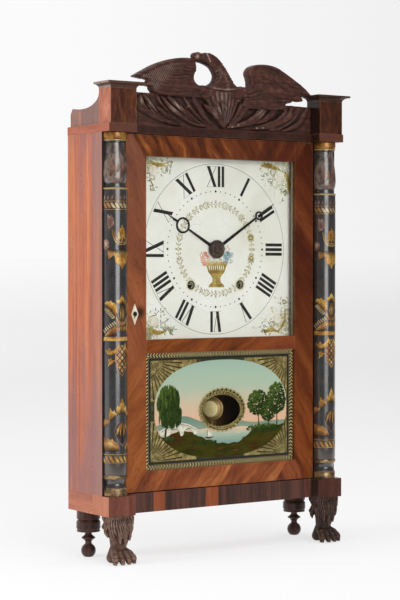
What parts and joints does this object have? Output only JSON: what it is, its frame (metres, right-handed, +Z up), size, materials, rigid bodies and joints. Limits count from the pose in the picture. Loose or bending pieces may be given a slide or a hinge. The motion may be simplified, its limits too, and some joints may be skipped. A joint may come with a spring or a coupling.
{
  "type": "shelf clock",
  "caption": "Half-column shelf clock with a carved eagle crest and paw feet; a glazed door covers the dial, hands, pendulum and weight-driven wooden movement.",
  "frame": {"origin": "centre of the overall box on the floor, under the feet", "axes": "+X to the right as one faces the dial, +Y to the back, +Z up"},
  "size_m": [0.455, 0.1306, 0.771],
  "materials": {
    "mahogany": "hand-planed mahogany board, shellac varnish worn to a soft gloss",
    "crotch_veneer": "cross-banded and diagonal mahogany veneer, shellac varnish",
    "carved_wood": "dark stained carved and turned wood",
    "ebonised": "black painted wood with bronze-powder stencilling, varnished",
    "white_pine": "unfinished pine",
    "cherry": "oiled cherry",
    "dial_paint": "gesso and off-white paint on a wooden panel, gilt and painted ornament",
    "glass": "old window glass",
    "tablet": "glass painted and gilded on its back",
    "brass": "cast and turned brass, lightly tarnished",
    "iron": "dark iron",
    "blued": "blackened sheet iron",
    "bone": "polished bone inlay",
    "cord": "twisted linen cord"
  },
  "bodies": {
    "case": {"side_panels": "mahogany", "front_stiles": "ebonised", "half_columns": "ebonised", "bottom_board": "white_pine", "base_rail_front": "crotch_veneer", "base_sides": "mahogany", "base_blocks": "mahogany", "paw_feet": "carved_wood", "rear_feet": "carved_wood", "top_board": "mahogany", "back_board": "white_pine", "corner_blocks": "mahogany", "block_caps": "mahogany", "gallery_returns": "mahogany", "eagle_splat": "carved_wood", "door_pivot_pins": "brass", "dial_panel": "dial_paint", "movement_plate_front": "cherry", "movement_plate_back": "cherry", "movement_pillars": "cherry", "movement_battens": "white_pine", "front_plate_studs": "iron", "bell": "brass", "pulley_brackets": "iron", "time_cord": "cord", "strike_cord": "cord"},
    "door": {"door_stile_lock": "crotch_veneer", "door_stile_hinge": "crotch_veneer", "door_top_rail": "crotch_veneer", "door_mid_rail": "crotch_veneer", "door_bottom_rail": "crotch_veneer", "upper_glass": "glass", "lower_tablet": "tablet", "glass_beads": "crotch_veneer", "key_escutcheon": "bone", "door_lock": "iron", "pivot_plates": "brass"},
    "bolt": {"lock_bolt": "brass"},
    "minute": {"minute_pipe": "brass", "minute_hand": "blued", "hand_collar": "carved_wood"},
    "hour": {"hour_wheel": "cherry", "hour_hand": "blued"},
    "time_great": {"time_great_wheel": "cherry"},
    "time_second": {"time_second_wheel": "cherry"},
    "time_third": {"time_third_wheel": "cherry"},
    "escape": {"escape_wheel": "brass"},
    "verge_arbor": {"verge": "iron"},
    "pendulum": {"pendulum_rod": "brass", "pendulum_bob": "brass"},
    "time_drum_arbor": {"time_drum": "cherry"},
    "time_pulley_wheel": {"time_pulley": "cherry"},
    "time_weight_body": {"time_weight": "iron"},
    "strike_great": {"strike_great_wheel": "cherry"},
    "strike_second": {"strike_second_wheel": "cherry"},
    "fly": {"strike_fly": "cherry"},
    "hammer_arbor": {"hammer": "iron"},
    "strike_drum_arbor": {"strike_drum": "cherry"},
    "strike_pulley_wheel": {"strike_pulley": "cherry"},
    "strike_weight_body": {"strike_weight": "iron"}
  },
  "joints": [
    {"name": "door_hinge", "type": "hinge", "parent": "case", "child": "door", "pos_m": [0.1735, -0.02875, 0.371], "axis": [0, 0, 1], "range_deg": [0, 92]},
    {"name": "lock_bolt_slide", "type": "slide", "parent": "door", "child": "bolt", "axis": [-1, 0, 0], "range_m": [0, 0.0045]},
    {"name": "time_third_turn", "type": "hinge", "parent": "case", "child": "time_third", "pos_m": [-0.03496, 0.02825, 0.49871], "axis": [0, 1, 0], "continuous": true},
    {"name": "time_second_turn", "type": "hinge", "parent": "case", "child": "time_second", "pos_m": [-0.03606, 0.02825, 0.46187], "axis": [0, 1, 0], "continuous": true},
    {"name": "time_great_turn", "type": "hinge", "parent": "case", "child": "time_great", "pos_m": [-0.0465, 0.02825, 0.414], "axis": [0, 1, 0], "continuous": true},
    {"name": "escape_turn", "type": "hinge", "parent": "case", "child": "escape", "pos_m": [0, 0.02825, 0.497], "axis": [0, 1, 0], "continuous": true},
    {"name": "minute_turn", "type": "hinge", "parent": "case", "child": "minute", "pos_m": [0, -0.00275, 0.4695], "axis": [0, 1, 0], "continuous": true},
    {"name": "hour_turn", "type": "hinge", "parent": "case", "child": "hour", "pos_m": [0, -0.00275, 0.4695], "axis": [0, 1, 0], "continuous": true},
    {"name": "pendulum_swing", "type": "hinge", "parent": "case", "child": "pendulum", "pos_m": [0, -0.00225, 0.52683], "axis": [0, 1, 0], "range_deg": [-4, 4]},
    {"name": "verge_rock", "type": "hinge", "parent": "case", "child": "verge_arbor", "pos_m": [0, 0.02825, 0.52683], "axis": [0, 1, 0], "range_deg": [-4, 4]},
    {"name": "time_weight_fall", "type": "slide", "parent": "case", "child": "time_weight_body", "axis": [0, 0, -1], "range_m": [0, 0.345], "deforming": ["time_cord"]},
    {"name": "time_drum_turn", "type": "hinge", "parent": "case", "child": "time_drum_arbor", "pos_m": [-0.0465, 0.02825, 0.414], "axis": [0, 1, 0], "range_deg": [0, 1798]},
    {"name": "time_pulley_turn", "type": "hinge", "parent": "case", "child": "time_pulley_wheel", "pos_m": [-0.139, 0.03225, 0.612], "axis": [0, 1, 0], "range_deg": [-1798, 0]},
    {"name": "strike_weight_fall", "type": "slide", "parent": "case", "child": "strike_weight_body", "axis": [0, 0, -1], "range_m": [0, 0.345], "deforming": ["strike_cord"]},
    {"name": "strike_drum_turn", "type": "hinge", "parent": "case", "child": "strike_drum_arbor", "pos_m": [0.0465, 0.02825, 0.414], "axis": [0, 1, 0], "range_deg": [-1798, 0]},
    {"name": "strike_pulley_turn", "type": "hinge", "parent": "case", "child": "strike_pulley_wheel", "pos_m": [0.139, 0.03225, 0.612], "axis": [0, 1, 0], "range_deg": [0, 1798]},
    {"name": "strike_second_turn", "type": "hinge", "parent": "case", "child": "strike_second", "pos_m": [0.03606, 0.02825, 0.46187], "axis": [0, 1, 0], "continuous": true},
    {"name": "strike_great_turn", "type": "hinge", "parent": "case", "child": "strike_great", "pos_m": [0.0465, 0.02825, 0.414], "axis": [0, 1, 0], "continuous": true},
    {"name": "fly_turn", "type": "hinge", "parent": "case", "child": "fly", "pos_m": [0.03496, 0.02825, 0.49871], "axis": [0, 1, 0], "continuous": true},
    {"name": "hammer_lift", "type": "hinge", "parent": "case", "child": "hammer_arbor", "pos_m": [0.06, 0.02825, 0.542], "axis": [0, 1, 0], "range_deg": [0, 14], "stiffness_Nm_per_rad": 0.02, "springref_deg": -8.59}
  ],
  "couplings": [
    {"joint": "time_third_turn", "follows": "escape_turn", "ratio": -0.11111},
    {"joint": "time_second_turn", "follows": "escape_turn", "ratio": 0.012963},
    {"joint": "time_great_turn", "follows": "escape_turn", "ratio": -0.0021605},
    {"joint": "minute_turn", "follows": "escape_turn", "ratio": -0.012963},
    {"joint": "hour_turn", "follows": "escape_turn", "ratio": -0.0010802},
    {"joint": "verge_rock", "follows": "pendulum_swing", "ratio": 1},
    {"joint": "time_drum_turn", "follows": "time_weight_fall", "rad_per_m": 90.909},
    {"joint": "time_pulley_turn", "follows": "time_weight_fall", "rad_per_m": -90.909},
    {"joint": "strike_drum_turn", "follows": "strike_weight_fall", "rad_per_m": -90.909},
    {"joint": "strike_pulley_turn", "follows": "strike_weight_fall", "rad_per_m": 90.909},
    {"joint": "strike_second_turn", "follows": "fly_turn", "ratio": -0.11667},
    {"joint": "strike_great_turn", "follows": "fly_turn", "ratio": 0.019444}
  ]
}
